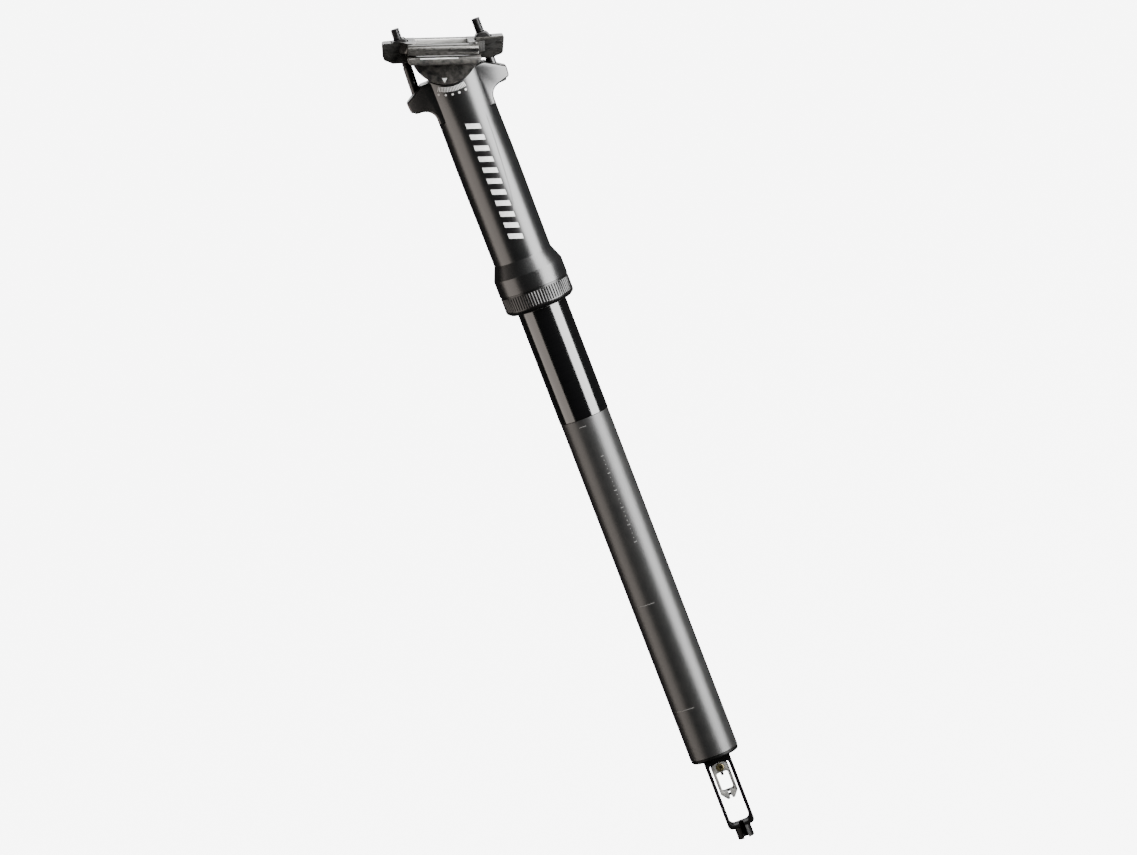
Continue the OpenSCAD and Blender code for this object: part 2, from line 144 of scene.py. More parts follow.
def noiseOn(tree, coords, size, detail=3, stretch=(1, 1, 1), along=0):
    tilted = node(tree, "ShaderNodeMapping")
    tilted.inputs["Rotation"].default_value = (0, math.radians(-along), 0)
    tree.links.new(coords, tilted.inputs["Vector"])
    placed = node(tree, "ShaderNodeMapping")
    placed.inputs["Scale"].default_value = stretch
    tree.links.new(tilted.outputs["Vector"], placed.inputs["Vector"])
    noise = node(tree, "ShaderNodeTexNoise")
    noise.inputs["Scale"].default_value = 1 / (size * mm)
    noise.inputs["Detail"].default_value = detail
    tree.links.new(placed.outputs["Vector"], noise.inputs["Vector"])
    return noise.outputs["Fac"]


def metalFinish(name, look):
    paint = bpy.data.materials.new(name)
    paint.use_nodes = True
    tree = paint.node_tree
    shader = tree.nodes["Principled BSDF"]
    coords = node(tree, "ShaderNodeTexCoord").outputs["Object"]
    stretch, along = look.get("stretch", (1, 1, 1)), look.get("along", 0)
    patches = noiseOn(tree, coords, look["patch"], 4, stretch, along)
    grain = noiseOn(tree, coords, look["grain"], 2, stretch, along)
    share = rampBetween(tree, patches, (0.35, 0.65), (0, 1))
    colour = mixColours(tree, share, look["dark"], look["light"])
    if look.get("wear"):
        edges = node(tree, "ShaderNodeNewGeometry").outputs["Pointiness"]
        worn = rampBetween(tree, edges, look["wearSpan"], (0, look["wear"]))
        broken = node(tree, "ShaderNodeMath", operation="MULTIPLY")
        tree.links.new(worn, broken.inputs[0])
        tree.links.new(rampBetween(tree, grain, (0.3, 0.6), (0.3, 1)), broken.inputs[1])
        colour = mixColours(tree, broken.outputs[0], colour, look["worn"])
    tree.links.new(colour, shader.inputs["Base Color"])
    span = (look["rough"] - look["spread"], look["rough"] + look["spread"])
    tree.links.new(rampBetween(tree, grain, (0.3, 0.7), span), shader.inputs["Roughness"])
    shader.inputs["Metallic"].default_value = look["metallic"]
    shader.inputs["Specular IOR Level"].default_value = look.get("specular", 0.5)
    bump = node(tree, "ShaderNodeBump")
    bump.inputs["Strength"].default_value = look["bump"]
    bump.inputs["Distance"].default_value = look["depth"] * mm
    tree.links.new(grain, bump.inputs["Height"])
    tree.links.new(bump.outputs["Normal"], shader.inputs["Normal"])
    return paint


# patch and grain are the sizes of the mottling and of the fine grain, in millimetres
finishes = {
    "lowerTubeBlack": dict(
        dark=(0.0048, 0.0048, 0.0048), light=(0.007, 0.0068, 0.0066), patch=7, grain=0.25,
        specular=0.36, rough=0.4, spread=0.05, metallic=0, bump=0.25, depth=0.02),
    "glossBlack": dict(
        dark=(0.0008, 0.0008, 0.0009), light=(0.0012, 0.0012, 0.0013), patch=12, grain=0.6,
        stretch=(1, 1, 12), rough=0.13, spread=0.015, metallic=0, bump=0.05, depth=0.004),
    "satinBlack": dict(
        dark=(0.0016, 0.0016, 0.0017), light=(0.0024, 0.0023, 0.0023), patch=10, grain=0.18,
        specular=0.42, rough=0.29, spread=0.03, metallic=0, bump=0.12, depth=0.01),
    "collarBlack": dict(
        dark=(0.0016, 0.0016, 0.0017), light=(0.0024, 0.0023, 0.0023), patch=5, grain=0.15,
        specular=0.28, rough=0.29, spread=0.04, metallic=0, bump=0.12, depth=0.01),
    "plugBlack": dict(
        dark=(0.0008, 0.0008, 0.0008), light=(0.0014, 0.0014, 0.0014), patch=4, grain=0.2,
        specular=0.06, rough=0.42, spread=0.06, metallic=0, bump=0.15, depth=0.01),
    "bareAluminium": dict(
        dark=(0.055, 0.055, 0.054), light=(0.13, 0.128, 0.12), patch=2, grain=0.3,
        stretch=(1, 1, 0.4), rough=0.5, spread=0.08, metallic=0.5, bump=0.2, depth=0.01),
    "plainSteel": dict(
        dark=(0.3, 0.3, 0.31), light=(0.42, 0.42, 0.43), patch=4, grain=0.2,
        stretch=(1, 1, 0.2), rough=0.28, spread=0.07, metallic=1, bump=0.15, depth=0.008),
    "springSteel": dict(
        dark=(0.16, 0.16, 0.17), light=(0.28, 0.28, 0.29), patch=2, grain=0.3, rough=0.34,
        spread=0.08, metallic=1, bump=0.2, depth=0.01),
    "bushingPolymer": dict(
        dark=(0.7, 0.64, 0.48), light=(0.8, 0.75, 0.6), patch=3, grain=0.2, rough=0.45,
        spread=0.06, metallic=0, bump=0.1, depth=0.01),
    "keyBrass": dict(
        dark=(0.62, 0.43, 0.16), light=(0.75, 0.56, 0.26), patch=2, grain=0.2, rough=0.3,
        spread=0.06, metallic=1, bump=0.1, depth=0.01),
    "screwBrass": dict(
        dark=(0.13, 0.11, 0.05), light=(0.24, 0.21, 0.12), patch=0.9, grain=0.15, rough=0.33,
        spread=0.08, metallic=1, bump=0.2, depth=0.01),
    "sealRubber": dict(
        dark=(0.0015, 0.0015, 0.0015), light=(0.0025, 0.0025, 0.0025), patch=3, grain=0.2,
        rough=0.55, spread=0.08, metallic=0, bump=0.2, depth=0.02),
    "forgedBlack": dict(
        dark=(0.004, 0.004, 0.004), light=(0.05, 0.047, 0.043), patch=3.2, grain=0.35,
        rough=0.36, spread=0.1, metallic=0.5, bump=0.45, depth=0.05, wear=0.55,
        wearSpan=(0.52, 0.6), worn=(0.14, 0.135, 0.125)),
    "forgedBar": dict(
        dark=(0.0015, 0.0015, 0.0015), light=(0.013, 0.0125, 0.0115), patch=1.8, grain=0.4,
        stretch=(0.2, 1, 1), along=19.8, rough=0.33, spread=0.1, metallic=0.6, bump=0.4,
        depth=0.04, wear=0.6, wearSpan=(0.52, 0.6), worn=(0.14, 0.135, 0.125)),
    "millFace": dict(
        dark=(0.1, 0.1, 0.1), light=(0.32, 0.315, 0.3), patch=2.5, grain=0.4,
        stretch=(0.2, 1, 1), along=19.8, rough=0.42, spread=0.08, metallic=0.6, bump=0.2,
        depth=0.02),
    # bright bare metal for the middle of the wing lips: partly wear, partly a painted highlight standing in for
    # the light caught along the lip
    "bareEdge": dict(
        dark=(0.6, 0.6, 0.59), light=(0.75, 0.75, 0.73), patch=3, grain=0.3, rough=0.38,
        spread=0.06, metallic=1, bump=0.1, depth=0.01),
    "blackSteel": dict(
        dark=(0.001, 0.001, 0.0011), light=(0.003, 0.0028, 0.0028), patch=2, grain=0.15,
        specular=0.3, rough=0.34, spread=0.07, metallic=0, bump=0.2, depth=0.01),
    "printWhite": dict(
        dark=(0.3, 0.3, 0.295), light=(0.38, 0.38, 0.375), patch=1.5, grain=0.1, rough=0.55,
        spread=0.05, metallic=0, bump=0.05, depth=0.004),
    "printGrey": dict(
        dark=(0.06, 0.06, 0.06), light=(0.1, 0.1, 0.095), patch=0.8, grain=0.1, rough=0.55,
        spread=0.05, metallic=0, bump=0.05, depth=0.004),
}
paints = {name: metalFinish(name, look) for name, look in finishes.items()}
print("materials", len(paints))


def rounded(corners, steps=5):
    line = []  # corners are (x, z, radius), and each is turned into an arc
    for i, (x, z, radius) in enumerate(corners):
        if radius == 0:
            line.append((x, z))
            continue
        here = Vector((x, z))
        back = (Vector(corners[i - 1][:2]) - here).normalized()
        on = (Vector(corners[(i + 1) % len(corners)][:2]) - here).normalized()
        half = back.angle(on) / 2
        centre = here + (back + on).normalized() * (radius / math.sin(half))
        start = here + back * (radius / math.tan(half)) - centre
        end = here + on * (radius / math.tan(half)) - centre
        sweep = math.atan2(start.x * end.y - start.y * end.x, start.dot(end))
        for s in range(steps + 1):
            line.append(tuple(centre + Matrix.Rotation(sweep * s / steps, 2) @ start))
    return line


def lathe(outline, steps=144):
    bm = bmesh.new()
    line = [bm.verts.new((r, 0, z)) for r, z in outline]
    sides = [bm.edges.new((line[i - 1], line[i])) for i in range(len(line))]
    bmesh.ops.spin(bm, geom=line + sides, cent=(0, 0, 0), axis=(0, 0, 1),
                   angle=2 * math.pi, steps=steps, use_merge=True)
    bmesh.ops.remove_doubles(bm, verts=bm.verts, dist=0.0005)
    bmesh.ops.recalc_face_normals(bm, faces=bm.faces)
    return bm


def prism(outline, half, across=0.0):
    bm = bmesh.new()  # an outline in the XZ plane, drawn out to both sides
    face = bm.faces.new([bm.verts.new((x, across - half, z)) for x, z in outline])
    drawn = bmesh.ops.extrude_face_region(bm, geom=[face])
    moved = [v for v in drawn["geom"] if isinstance(v, bmesh.types.BMVert)]
    bmesh.ops.translate(bm, verts=moved, vec=(0, 2 * half, 0))
    bmesh.ops.recalc_face_normals(bm, faces=bm.faces)
    return bm


def turned(bm, angle, axis):
    bmesh.ops.rotate(bm, cent=(0, 0, 0), matrix=Matrix.Rotation(angle, 3, axis), verts=bm.verts)
    return bm


def shifted(bm, *vec):
    bmesh.ops.translate(bm, vec=vec, verts=bm.verts)
    return bm


def column(plan, bottom, top):
    # a plan in XY, drawn up from one height to another
    return shifted(turned(prism(plan, (top - bottom) / 2), -math.pi / 2, "X"), 0, 0, (top + bottom) / 2)


def beam(section, start, end):
    # a section in YZ, drawn out along X
    return shifted(turned(prism(section, (end - start) / 2), math.pi / 2, "Z"), (start + end) / 2, 0, 0)


def block(lowest, highest):
    bm = bmesh.new()
    bmesh.ops.create_cube(bm, size=1)
    lowest, highest = Vector(lowest), Vector(highest)
    bmesh.ops.scale(bm, vec=highest - lowest, verts=bm.verts)
    return shifted(bm, *((lowest + highest) / 2))


def rod(radius, start, end, steps=48, endRadius=None):
    bm = bmesh.new()
    start, end = Vector(start), Vector(end)
    along = end - start
    bmesh.ops.create_cone(bm, cap_ends=True, segments=steps, radius1=radius,
                          radius2=radius if endRadius is None else endRadius, depth=along.length)
    turn = Vector((0, 0, 1)).rotation_difference(along).to_matrix()
    bmesh.ops.rotate(bm, cent=(0, 0, 0), matrix=turn, verts=bm.verts)
    return shifted(bm, *((start + end) / 2))


def soften(bm, width, segments=3, sharperThan=30, only=None):
    edges = [e for e in bm.edges if len(e.link_faces) == 2
             and e.calc_face_angle(0) > math.radians(sharperThan) and (only is None or only(e))]
    bmesh.ops.bevel(bm, geom=edges, offset=width, offset_type="OFFSET", affect="EDGES",
                    segments=segments, profile=0.5, material=-1, clamp_overlap=True)
    return bm


def looseObject(bm, name="loose"):
    mesh = bpy.data.meshes.new(name)
    bm.to_mesh(mesh)
    bm.free()
    made = bpy.data.objects.new(name, mesh)
    bpy.context.scene.collection.objects.link(made)
    return made


def together(*parts):
    whole = bmesh.new()
    for part in parts:
        mesh = bpy.data.meshes.new("part")
        part.to_mesh(mesh)
        part.free()
        whole.from_mesh(mesh)
        bpy.data.meshes.remove(mesh)
    return whole


def combine(bm, others, operation):
    base = looseObject(bm)
    tools = [looseObject(other) for other in others]
    for tool in tools:
        change = base.modifiers.new("change", "BOOLEAN")
        change.operation = operation
        change.solver = "EXACT"
        change.use_self = operation == "UNION"
        change.object = tool
    bpy.context.view_layer.update()
    result = bmesh.new()
    result.from_mesh(base.evaluated_get(bpy.context.evaluated_depsgraph_get()).to_mesh())
    for spare in [base, *tools]:
        bpy.data.meshes.remove(spare.data)
    bmesh.ops.remove_doubles(result, verts=result.verts, dist=0.002)
    bmesh.ops.dissolve_degenerate(result, edges=result.edges, dist=0.001)
    return result


def carve(bm, *tools):
    return combine(bm, tools, "DIFFERENCE")


def weld(bm, *others):
    return combine(bm, others, "UNION")


def shared(bm, *others):
    return combine(bm, others, "INTERSECT")


def keepPiece(bm, name, body, paintNames, replaced=(), sharpAngle=32):
    bmesh.ops.scale(bm, vec=(mm, mm, mm), verts=bm.verts)
    made = looseObject(bm, name)
    for paint in paintNames.split():
        made.data.materials.append(paints[paint])
    made.data.shade_smooth()
    made.data.set_sharp_from_angle(angle=math.radians(sharpAngle))
    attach(made, body)
    if replaced:
        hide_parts(*replaced)
    return made


keptNodes = {
    "support_tube": "bareAluminium", "ball_head": "plainSteel", "lock_balls": "plainSteel",
    "spring_seat": "plugBlack", "upper_bushing": "bushingPolymer", "guide_keys": "keyBrass",
    "wiper_seal": "sealRubber", "lower_bushing": "bushingPolymer",
    "lock_tube": "bareAluminium", "release_rod": "blackSteel",
}
for name, paint in keptNodes.items():
    cadNodes[name].data.materials.clear()
    cadNodes[name].data.materials.append(paints[paint])
    for face in cadNodes[name].data.polygons:
        face.material_index = 0
print("carried-over nodes", len(keptNodes))

keyCut = {"count": 3, "first": 90, "width": 3.0, "bottom": 290, "top": 300, "slotTop": 361,
          "endGap": 0.3, "sideGap": 0.04}


def keyCuts(inner, outer, bottom, top, width):
    # boxes at the three guide keys, for the pockets and slots that they sit in
    made = []
    for i in range(keyCut["count"]):
        box = block((inner, -width / 2, bottom), (outer, width / 2, top))
        made.append(turned(box, math.radians(keyCut["first"] + 360 * i / keyCut["count"]), "Z"))
    return made


lowerTube = {
    "bore": 12.3,
    "edge": 0.4,
    "bottomEdge": 0.25,
}


def makeLowerTube(t):
    r, top = high("lower_tube").x, high("lower_tube").z
    bm = lathe(rounded([(t["bore"], 0, 0), (r, 0, t["bottomEdge"]), (r, top, t["edge"]),
                        (t["bore"], top, 0)]), 192)
    keepPiece(bm, "lowerTube", "root", "lowerTubeBlack", ["lower_tube"])


makeLowerTube(lowerTube)

stanchion = {
    "bore": 11.3,
    "spigot": 12.3,
    "step": 306,      # height above which the upper bushing sits round it
    "stepRadius": 13.2,
    "keyDepth": 1.2,
}


def makeStanchion(t):
    r, bottom, top = high("stanchion").x, low("stanchion").z, high("stanchion").z
    ledge = high("lower_tube").z
    bm = lathe(rounded([(t["bore"], bottom, 0.2), (t["spigot"], bottom, 0.3), (t["spigot"], ledge, 0),
                        (r, ledge, 0.15), (r, t["step"], 0.2), (t["stepRadius"], t["step"], 0),
                        (t["stepRadius"], top, 0.3), (t["bore"], top, 0.2)], 3), 192)
    bm = carve(bm, *keyCuts(r - t["keyDepth"], r + 2 * past, keyCut["bottom"], keyCut["top"],
                            keyCut["width"]))
    keepPiece(bm, "stanchionTube", "root", "glossBlack", ["stanchion"])


makeStanchion(stanchion)

plug = {
    "flangeRadius": 13.4,
    "flangeEdge": 1.15,
    "bodyRadius": 12.3,
    "rodBore": 1.56,
    "tubeBore": 4.5,
    "tubeSeat": 8,
}


def makePlug(p):
    bottom, top = low("bottom_plug").z, high("bottom_plug").z
    bm = lathe(rounded([(p["rodBore"], bottom, 0.2), (p["flangeRadius"], bottom, p["flangeEdge"]),
                        (p["flangeRadius"], 0, 0.1), (p["bodyRadius"], 0, 0), (p["bodyRadius"], top, 0.4),
                        (p["tubeBore"], top, 0.3), (p["tubeBore"], p["tubeSeat"], 0),
                        (p["rodBore"], p["tubeSeat"], 0)]), 144)
    keepPiece(bm, "bottomPlug", "root", "plugBlack", ["bottom_plug"])


makePlug(plug)

cage = {
    "wall": 2.0,
    "outerCorner": 2.6,
    "innerCorner": 2.4,
    "windowTop": -5.2,
    "bar": 2.0,           # thickness of the bar under the window
    "edge": 0.35,
    "nippleRadius": 4.55,
    "nippleLength": 7.1,
    "nippleEdge": 0.35,
    "housingBore": 2.55,
    "housingDepth": 5.3,
    "slot": 1.3,          # half width of the slot that the cable slips in by
    "rodBore": 1.56,
}


def makeCage(c):
    x, y = high("actuator_cage").x, high("actuator_cage").y
    foot = low("actuator_cage").z
    bottom = foot + c["nippleLength"]
    top = high("actuator_cage").z
    r = c["outerCorner"]
    frameBars = prism(rounded([(-x, top, 0), (-x, bottom, r), (x, bottom, r), (x, top, 0)], 7), y)
    inner, r = x - c["wall"], c["innerCorner"]
    window = prism(rounded([(-inner, c["windowTop"], r), (-inner, bottom + c["bar"], r),
                            (inner, bottom + c["bar"], r), (inner, c["windowTop"], r)], 7), y + past)
    bm = soften(carve(frameBars, window), c["edge"], 3, 40,
                lambda e: max(v.co.z for v in e.verts) < top - 0.01)
    nipple = lathe(rounded([(0, foot, 0), (c["nippleRadius"], foot, c["nippleEdge"]),
                            (c["nippleRadius"], bottom + 1, 0), (0, bottom + 1, 0)]), 72)
    bm = weld(bm, nipple)
    slotTop = bottom + c["bar"] + 2 * past
    bm = carve(bm, rod(c["housingBore"], (0, 0, foot - past), (0, 0, foot + c["housingDepth"])),
               rod(c["slot"], (0, 0, foot - 2 * past), (0, 0, slotTop), 32),
               block((-c["slot"], -y - past, foot - 2 * past), (c["slot"], 0, slotTop)),
               rod(c["rodBore"], (0, 0, c["windowTop"] - past), (0, 0, top + past), 32))
    keepPiece(bm, "actuatorCage", "root", "plugBlack", ["actuator_cage"])


makeCage(cage)

carriage = {
    "shoulder": 2.9,      # corner radius at the top
    "sideEnd": -22.8,     # where the sides turn in to the V
    "tips": 2.0,
    "notch": 1.0,         # half width of the notch between the tips
    "valley": -25.2,
    "window": {"half": 3.15, "bottom": -22, "top": -11.1, "corner": 1.0},
    "edge": 0.5,
    "rodBore": 1.5,
    "cableHole": 0.9,
    "cableEye": (0.7, -23.8),
    "cableSlot": 0.6,
    "screwAt": -8.4,
    "screwRadius": 1.25,
    "screwHead": 2.2,
    "screwHeadDepth": 1.0,
    "hexKey": 1.15,
    "hexDepth": 1.7,
}


def makeCarriage(c):
    x, y = high("cable_carriage").x, high("cable_carriage").y
    bottom, top = low("cable_carriage").z, high("cable_carriage").z
    tips, notch = c["tips"], c["notch"]
    outline = [(-x, top, c["shoulder"]), (-x, c["sideEnd"], 0.6), (-tips, bottom, 0.2),
               (-notch, bottom, 0.2), (0, c["valley"], 0), (notch, bottom, 0.2), (tips, bottom, 0.2),
               (x, c["sideEnd"], 0.6), (x, top, c["shoulder"])]
    w = c["window"]
    window = prism(rounded([(side * w["half"], w[end], w["corner"]) for side, end in
                            ((-1, "top"), (-1, "bottom"), (1, "bottom"), (1, "top"))]), y + past)
    bm = soften(carve(prism(rounded(outline), y), window), c["edge"], 3, 40)
    seat, screwAt = -y + c["screwHeadDepth"], c["screwAt"]
    eye, eyeAt = c["cableEye"]
    bm = carve(bm, rod(c["rodBore"], (0, 0, w["top"] - 1.5 * past), (0, 0, top + past)),
               rod(c["cableHole"], (0, 0, bottom - past), (0, 0, w["bottom"] + past), 32),
               block((-c["cableSlot"], -y - past, bottom - past), (c["cableSlot"], 0, w["bottom"] + past)),
               rod(eye, (0, -y - past, eyeAt), (0, y + past, eyeAt), 24),
               rod(c["screwRadius"] + 0.02, (0, -y - past, screwAt), (0, -0.4, screwAt)),
               rod(c["screwHead"] + 0.1, (0, -y - past, screwAt), (0, seat, screwAt)))
    keepPiece(bm, "cableCarriage", "carriage", "bareAluminium", ["cable_carriage"])
    tip, neck = y - c["rodBore"], c["screwHeadDepth"]
    screw = lathe(rounded([(0, 0.1, 0), (c["screwHead"], 0.1, 0.3), (c["screwHead"], neck, 0),
                           (c["screwRadius"], neck, 0), (c["screwRadius"], tip, 0.2), (0, tip, 0)]), 48)
    screw = carve(screw, rod(c["hexKey"], (0, 0, -past), (0, 0, c["hexDepth"]), 6))
    screw = shifted(turned(screw, -math.pi / 2, "X"), 0, -y, screwAt)
    keepPiece(screw, "cableClampScrew", "carriage", "screwBrass", ["cable_clamp_screw"])


makeCarriage(carriage)
print("foot")

springs = {
    "mainSpring": dict(node="main_spring", joint="post_slide", body="root",
                       wire=1.3, turns=30, perTurn=24),
    "returnSpring": dict(node="return_spring", joint="carriage_slide", body="root",
                         wire=0.32, turns=20, perTurn=20),
}


def coilSpring(name, s):
    bottom, top = low(s["node"]), high(s["node"])
    radius = top.x - s["wire"]
    rise = top.z - bottom.z - 2 * s["wire"]
    bm = bmesh.new()
    section = bmesh.ops.create_circle(bm, cap_ends=True, segments=8, radius=s["wire"])["verts"]
    bmesh.ops.rotate(bm, cent=(0, 0, 0), matrix=Matrix.Rotation(math.pi / 2, 3, "X"), verts=section)
    bmesh.ops.translate(bm, vec=(radius, 0, bottom.z + s["wire"]), verts=section)
    steps = s["turns"] * s["perTurn"]
    bmesh.ops.spin(bm, geom=bm.verts[:] + bm.edges[:] + bm.faces[:], cent=(0, 0, 0), axis=(0, 0, 1),
                   angle=2 * math.pi * s["turns"], steps=steps, dvec=(0, 0, rise / steps))
    bmesh.ops.recalc_face_normals(bm, faces=bm.faces)
    made = keepPiece(bm, name, s["body"], "springSteel", [s["node"]])
    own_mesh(made)


for name, spring in springs.items():
    coilSpring(name, spring)
print("springs")

collar = {
    "bore": 14.1,
    "lip": 17.1,           # radius of the flat lower face
    "lipRise": 2.4,
    "fluteLow": 265.0,
    "fluteHigh": 272.2,
    "flutes": 72,
    "fluteDepth": 0.26,
    "rimHigh": 272.5,
    "grooveRadius": 18.9,
    "bandBottom": 273.3,
    "threadRadius": 17.8,
    "top": 278.6,
    "bushingSeat": 15.5,
    "sealRadius": 16,
    "sealTop": 269.6,
}


def makeCollar(c):
    r, z = high("seal_collar").x, low("seal_collar").z
    outline = rounded([(c["bore"], z, 0.15), (c["lip"], z, 0.5), (r - 0.35, z + 1.4, 1.2),
                       (r, z + c["lipRise"], 0.3), (r, c["fluteLow"] - 0.25, 0), (r, c["fluteLow"], 0),
                       (r, c["fluteHigh"], 0), (r, c["fluteHigh"] + 0.1, 0), (r, c["rimHigh"], 0.12),
                       (c["grooveRadius"], c["rimHigh"], 0), (c["grooveRadius"], c["bandBottom"], 0),
                       (c["threadRadius"], c["bandBottom"], 0),
                       (c["threadRadius"], c["top"], 0.3), (c["bushingSeat"], c["top"], 0.2),
                       (c["bushingSeat"], c["sealTop"], 0), (c["sealRadius"], c["sealTop"], 0),
                       (c["sealRadius"], z + 1, 0), (c["bore"], z + 1, 0)], 4)
    bm = lathe(outline, 8 * c["flutes"])
    for v in bm.verts:
        if c["fluteLow"] - 0.01 < v.co.z < c["fluteHigh"] + 0.01 and v.co.xy.length > r - 0.01:
            around = math.atan2(v.co.y, v.co.x) * c["flutes"]
            inward = 1 - c["fluteDepth"] * (0.5 - 0.5 * math.cos(around)) ** 5 / r
            v.co.x *= inward
            v.co.y *= inward
    keepPiece(bm, "sealCollar", "upper_post", "collarBlack", ["seal_collar"], 24)


makeCollar(collar)
print("collar")

clampAt = Vector(jointByName["saddle_tilt"]["pos_m"]) / mm
railAxis = Vector(next(m for m in frame["record"]["mounts"] if m["name"] == "left_rail")["axis"])
railTurn = math.atan2(-railAxis.z, railAxis.x)       # nose-down tilt of the rails
nutAt = {end: Vector(jointByName[end + "_nut_pivot"]["pos_m"]) / mm for end in ("rear", "front")}
nutTurn = math.atan2(nutAt["rear"].z - nutAt["front"].z, nutAt["front"].x - nutAt["rear"].x)
boltAxis = {end: -Vector(jointByName[end + "_bolt_feed"]["axis"]) for end in ("rear", "front")}
boltLean = {end: math.atan2(boltAxis[end].x, boltAxis[end].z) for end in ("rear", "front")}
boltFoot = {end: Vector(jointByName[end + "_bolt_turn"]["pos_m"]) / mm for end in ("rear", "front")}


def alongBolt(bm, end):
    return shifted(turned(bm, boltLean[end], "Y"), *boltFoot[end])


head = {
    # the outside from the band up, as (radius, height, rounding)
    "skin": [(19.45, 282.5, 0.5), (16.25, 290.4, 0.4), (16.35, 313, 0), (16.52, 327, 0), (16.6, 337, 0),
             (16.6, 349, 0), (16.48, 358, 0), (16.4, 365, 0)],
    "band": 19.45,
    "threadBore": 17.8,
    "threadTop": 278.8,
    "bushingBore": 15.4,
    "bushingTop": 287,
    "bore": 14.5,
    "boreTop": 384,
    "capBore": 6,
    "capTop": 389,
    "seat": 20.0,
    "earSide": [(8, 373, 0), (16.15, 373, 0), (16.6, 381.3, 6), (28.2, 384.2, 0), (28.78, 389.9, 0),
                (18.2, 396.55, 0), (8, 396.55, 0)],
    "earPlan": [(8, -10.4), (13, -10.4), (28.8, -5.9), (28.8, 5.9), (13, 10.4), (8, 10.4)],
    "earEdge": 1.15,
    "earInner": 15.2,
    "earInnerSpan": (360, 386),
    "boltHole": 3.3,
    "headBore": 5.3,
    "slotReach": 15.45,
    "slotFrom": 12.5,
    "rimEdge": 0.45,
}


crease = {
    # a fine line that runs up the near side and round towards the front, as (x, z)
    "line": ((-2.2, 300), (0, 308.5), (3, 316), (5.6, 320.5), (6.8, 330), (7.9, 345), (8.7, 358),
             (9, 370)),
    "width": 0.35,
    "depth": 0.25,
    "above": 0.5,         # how far the cutting strip starts outside the tube
    "skin": ((300, 16.33), (335, 16.6), (350, 16.6), (365, 16.4)),  # the tube's radius by height
}


def skinRadius(c, z):
    for (bottom, r), (top, nextRadius) in zip(c["skin"], c["skin"][1:]):
        if z <= top:
            return r + (nextRadius - r) * (z - bottom) / (top - bottom)
    return c["skin"][-1][1]


def creaseCut(c):
    bm = bmesh.new()
    last = len(c["line"]) - 1
    bmesh.ops.create_grid(bm, x_segments=1, y_segments=last, size=0.5)
    for v in bm.verts:
        x, z = c["line"][round((v.co.y + 0.5) * last)]
        x += v.co.x * c["width"]
        v.co = (x, -math.sqrt(skinRadius(c, z) ** 2 - x ** 2) - c["above"], z)
    drawn = bmesh.ops.extrude_face_region(bm, geom=bm.faces[:])
    moved = [v for v in drawn["geom"] if isinstance(v, bmesh.types.BMVert)]
    bmesh.ops.translate(bm, verts=moved, vec=(0, c["above"] + c["depth"], 0))
    bmesh.ops.recalc_face_normals(bm, faces=bm.faces)
    return bm


def makeUpperTube(h):
    bottom, top = low("upper_tube").z, high("upper_tube").z
    outline = [(h["threadBore"], bottom, 0), (h["band"], bottom, 0.3), *h["skin"],
               (h["skin"][-1][0], top, 0), (0, top, 0), (0, h["capTop"], 0),
               (h["capBore"], h["capTop"], 0), (h["capBore"], h["boreTop"], 0),
               (h["bore"], h["boreTop"], 0), (h["bore"], h["bushingTop"], 0),
               (h["bushingBore"], h["bushingTop"], 0), (h["bushingBore"], h["threadTop"], 0),
               (h["threadBore"], h["threadTop"], 0)]
    bm = lathe(rounded(outline, 4), 240)
    ears = []
    inside = [(0, 0, z) for z in h["earInnerSpan"]]
    for end in (1, -1):
        side = prism(rounded([(end * x, z, radius) for x, z, radius in h["earSide"]], 4), 12)
        plan = column([(end * x, y) for x, y in h["earPlan"]], 370, 400)
        ear = soften(shared(side, plan), h["earEdge"], 4, 35, lambda e: abs(e.verts[0].co.x) > 12)
        # the inner end stops inside the tube's wall, so that the bore stays clear
        ears.append(carve(ear, rod(h["earInner"], *inside, 96)))
    bm = weld(bm, *ears)
    cuts = [rod(h["seat"], clampAt + Vector((0, -30, 0)), clampAt + Vector((0, 30, 0)), 160)]
    for end in ("rear", "front"):
        cuts.append(alongBolt(rod(h["boltHole"], (0, 0, -20), (0, 0, 20), 64), end))
        cuts.append(alongBolt(rod(h["headBore"], (0, 0, -20), (0, 0, 0), 64), end))
    cuts += keyCuts(h["slotFrom"], h["slotReach"], keyCut["bottom"] - keyCut["endGap"], keyCut["slotTop"],
                    keyCut["width"] + 2 * keyCut["sideGap"])
    bm = carve(bm, *cuts, creaseCut(crease))

    def onSeatRim(e):
        spots = [v.co - clampAt for v in e.verts]
        return all(abs(math.hypot(s.x, s.z) - h["seat"]) < 0.03 and abs(s.x) < 14 for s in spots)
    soften(bm, h["rimEdge"], 2, 35, onSeatRim)
    keepPiece(bm, "upperTube", "upper_post", "satinBlack", ["upper_tube"], 30)


makeUpperTube(head)
print("upper tube")

